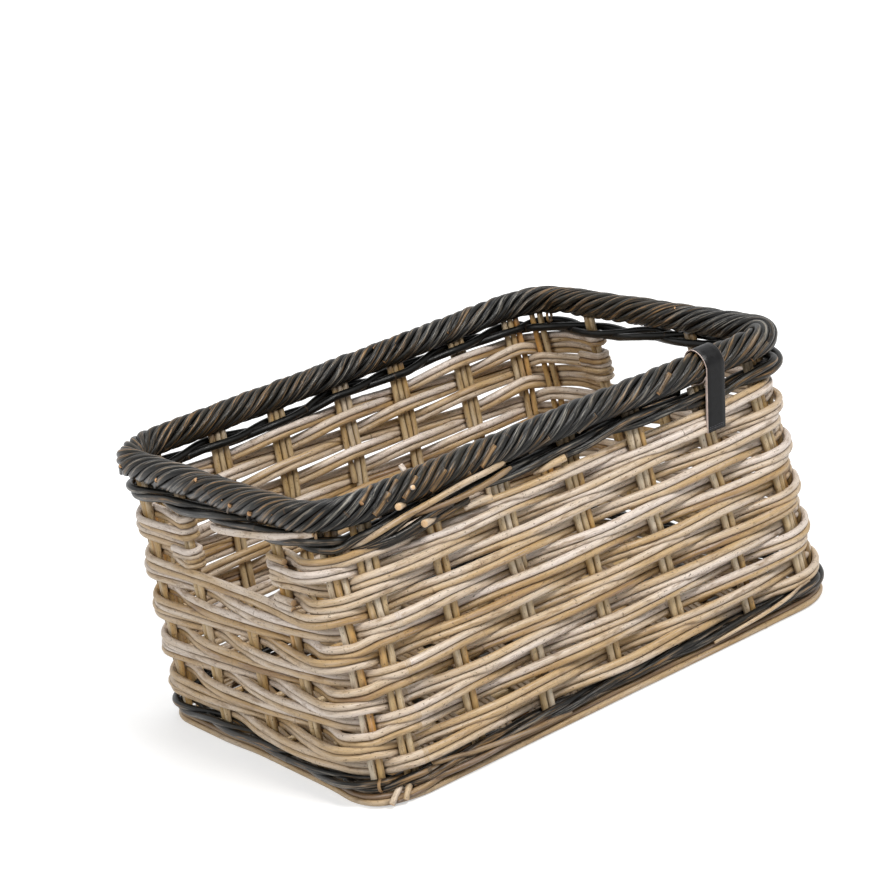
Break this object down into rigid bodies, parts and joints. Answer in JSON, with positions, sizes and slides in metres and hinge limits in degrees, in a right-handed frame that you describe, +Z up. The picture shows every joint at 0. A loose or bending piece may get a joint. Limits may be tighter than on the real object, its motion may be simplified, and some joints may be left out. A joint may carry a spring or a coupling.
{
  "type": "bicycle basket",
  "caption": "Open rectangular rattan bicycle basket with a woven wall on paired stakes, rope border, hand holes in the short sides and a leather label loop.",
  "frame": {"origin": "middle of the footprint, on the surface that the basket stands on", "axes": "+Z up, +X along the long sides, -Y towards the long side that carries the leather label"},
  "size_m": [0.5402, 0.4223, 0.2773],
  "materials": {
    "natural_cane": "unpeeled rattan weathered to greyed beige, satin",
    "stake_cane": "rattan stakes, a little yellower, satin",
    "dark_cane": "rattan stained nearly black, worn brown on the ridges, slight gloss",
    "label_leather": "black smooth leather with pale cut edges"
  },
  "bodies": {
    "basket": {"bottom_stick_1": "stake_cane", "bottom_stick_2": "stake_cane", "bottom_stick_3": "stake_cane", "bottom_stick_4": "stake_cane", "bottom_stick_5": "stake_cane", "bottom_stick_6": "stake_cane", "bottom_stick_7": "stake_cane", "bottom_weaver": "natural_cane", "foot_hoop": "natural_cane", "foot_wale_rod_a": "dark_cane", "foot_wale_rod_b": "dark_cane", "rope_border": "dark_cane", "stake_pair_far_1": "stake_cane", "stake_pair_far_2": "stake_cane", "stake_pair_far_3": "stake_cane", "stake_pair_far_4": "stake_cane", "stake_pair_far_5": "stake_cane", "stake_pair_far_6": "stake_cane", "stake_pair_far_7": "stake_cane", "stake_pair_left_1": "stake_cane", "stake_pair_left_2": "stake_cane", "stake_pair_left_3": "stake_cane", "stake_pair_left_4": "stake_cane", "stake_pair_left_5": "stake_cane", "stake_pair_near_1": "stake_cane", "stake_pair_near_2": "stake_cane", "stake_pair_near_3": "stake_cane", "stake_pair_near_4": "stake_cane", "stake_pair_near_5": "stake_cane", "stake_pair_near_6": "stake_cane", "stake_pair_near_7": "stake_cane", "stake_pair_right_1": "stake_cane", "stake_pair_right_2": "stake_cane", "stake_pair_right_3": "stake_cane", "stake_pair_right_4": "stake_cane", "stake_pair_right_5": "stake_cane", "upper_wale_rod_a": "dark_cane", "upper_wale_rod_b": "dark_cane", "weave_course_01": "natural_cane", "weave_course_02": "natural_cane", "weave_course_03": "natural_cane", "weave_course_04": "natural_cane", "weave_course_05": "natural_cane", "weave_course_06": "natural_cane", "weave_course_07": "natural_cane", "weave_course_08": "natural_cane", "weave_course_09": "natural_cane", "weave_course_10": "natural_cane", "weave_course_11": "natural_cane", "weave_course_12_back": "natural_cane", "weave_course_12_front": "natural_cane", "weave_course_13_back": "natural_cane", "weave_course_13_front": "natural_cane", "weave_course_14_back": "natural_cane", "weave_course_14_front": "natural_cane", "weave_course_15_back": "natural_cane", "weave_course_15_front": "natural_cane"},
    "label": {"leather_label": "label_leather"}
  },
  "joints": [
    {"name": "label_swing", "type": "hinge", "parent": "basket", "child": "label", "pos_m": [0.1575, -0.196, 0.261], "axis": [-1, 0, 0], "range_deg": [0, 272]}
  ]
}
